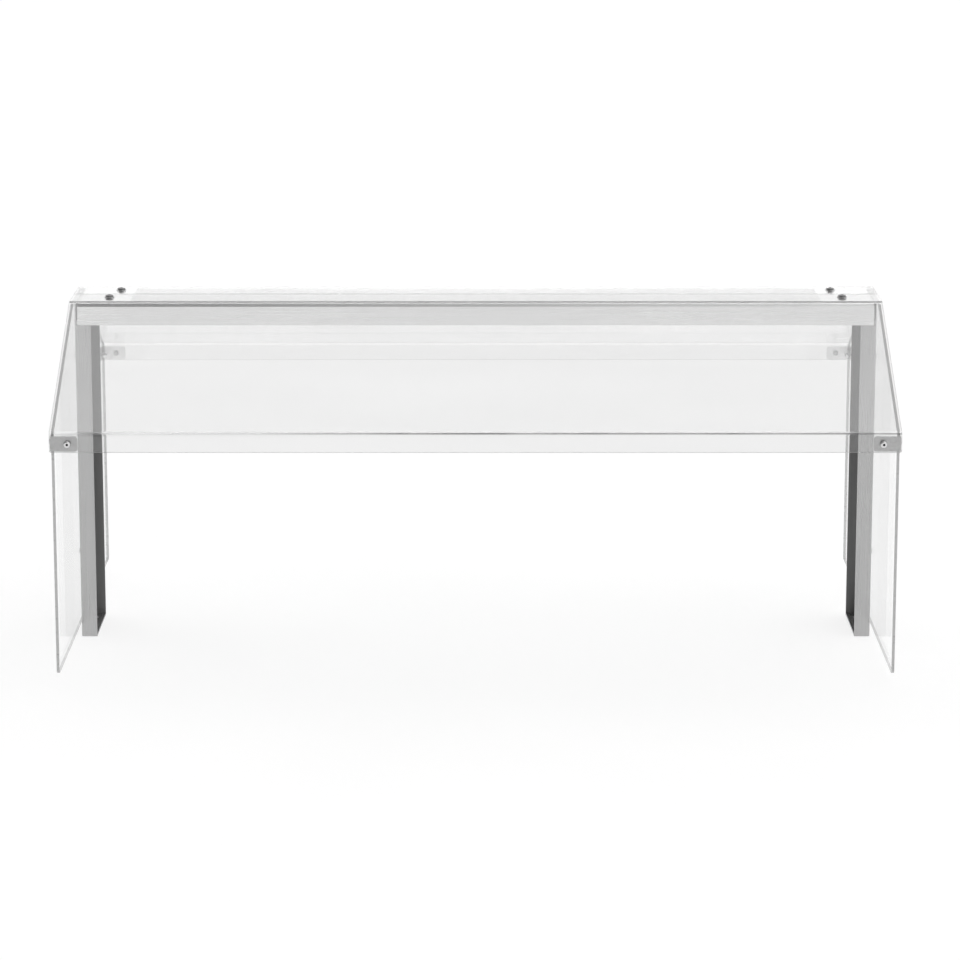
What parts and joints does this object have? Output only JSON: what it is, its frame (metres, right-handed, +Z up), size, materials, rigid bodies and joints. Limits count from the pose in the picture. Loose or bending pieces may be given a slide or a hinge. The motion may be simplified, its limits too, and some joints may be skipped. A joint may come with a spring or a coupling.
{
  "type": "sneeze guard",
  "caption": "Double-sided clear sneeze guard for a buffet counter: bent sheets over a brushed steel portal, with flat clear end panels.",
  "frame": {"origin": "on the counter, at the middle of the footprint", "axes": "+X along the guard to the right, +Y from the front side to the rear side, +Z up"},
  "size_m": [1.1322, 0.692, 0.4838],
  "materials": {
    "clear_acrylic": "clear polished sheet with faintly grey cut edges",
    "brushed_steel": "stainless, brushed along each member's length",
    "bracket_steel": "fine satin stainless",
    "fastener_steel": "bright turned stainless",
    "dark_fastener_steel": "dark satin steel",
    "clear_tape": "translucent bonding tape"
  },
  "bodies": {
    "root": {"top_beam": "brushed_steel", "left_leg": "brushed_steel", "left_foot_plate": "brushed_steel", "left_top_tab": "brushed_steel", "left_end_panel": "clear_acrylic", "right_leg": "brushed_steel", "right_foot_plate": "brushed_steel", "right_top_tab": "brushed_steel", "right_end_panel": "clear_acrylic", "front_shield": "clear_acrylic", "front_tape": "clear_tape", "rear_shield": "clear_acrylic", "rear_tape": "clear_tape", "front_left_bracket": "bracket_steel", "front_left_top_screw": "dark_fastener_steel", "front_left_top_washer": "fastener_steel", "front_left_top_nut": "fastener_steel", "front_left_face_screw": "fastener_steel", "front_left_face_nut": "fastener_steel", "front_left_side_screw": "fastener_steel", "front_left_side_nut": "fastener_steel", "front_right_bracket": "bracket_steel", "front_right_top_screw": "dark_fastener_steel", "front_right_top_washer": "fastener_steel", "front_right_top_nut": "fastener_steel", "front_right_face_screw": "fastener_steel", "front_right_face_nut": "fastener_steel", "front_right_side_screw": "fastener_steel", "front_right_side_nut": "fastener_steel", "rear_left_bracket": "bracket_steel", "rear_left_top_screw": "dark_fastener_steel", "rear_left_top_washer": "fastener_steel", "rear_left_top_nut": "fastener_steel", "rear_left_face_screw": "fastener_steel", "rear_left_face_nut": "fastener_steel", "rear_left_side_screw": "fastener_steel", "rear_left_side_nut": "fastener_steel", "rear_right_bracket": "bracket_steel", "rear_right_top_screw": "dark_fastener_steel", "rear_right_top_washer": "fastener_steel", "rear_right_top_nut": "fastener_steel", "rear_right_face_screw": "fastener_steel", "rear_right_face_nut": "fastener_steel", "rear_right_side_screw": "fastener_steel", "rear_right_side_nut": "fastener_steel", "left_lower_panel_screw": "fastener_steel", "left_lower_panel_nut": "fastener_steel", "left_upper_panel_screw": "fastener_steel", "left_upper_panel_nut": "fastener_steel", "right_lower_panel_screw": "fastener_steel", "right_lower_panel_nut": "fastener_steel", "right_upper_panel_screw": "fastener_steel", "right_upper_panel_nut": "fastener_steel"}
  },
  "joints": []
}
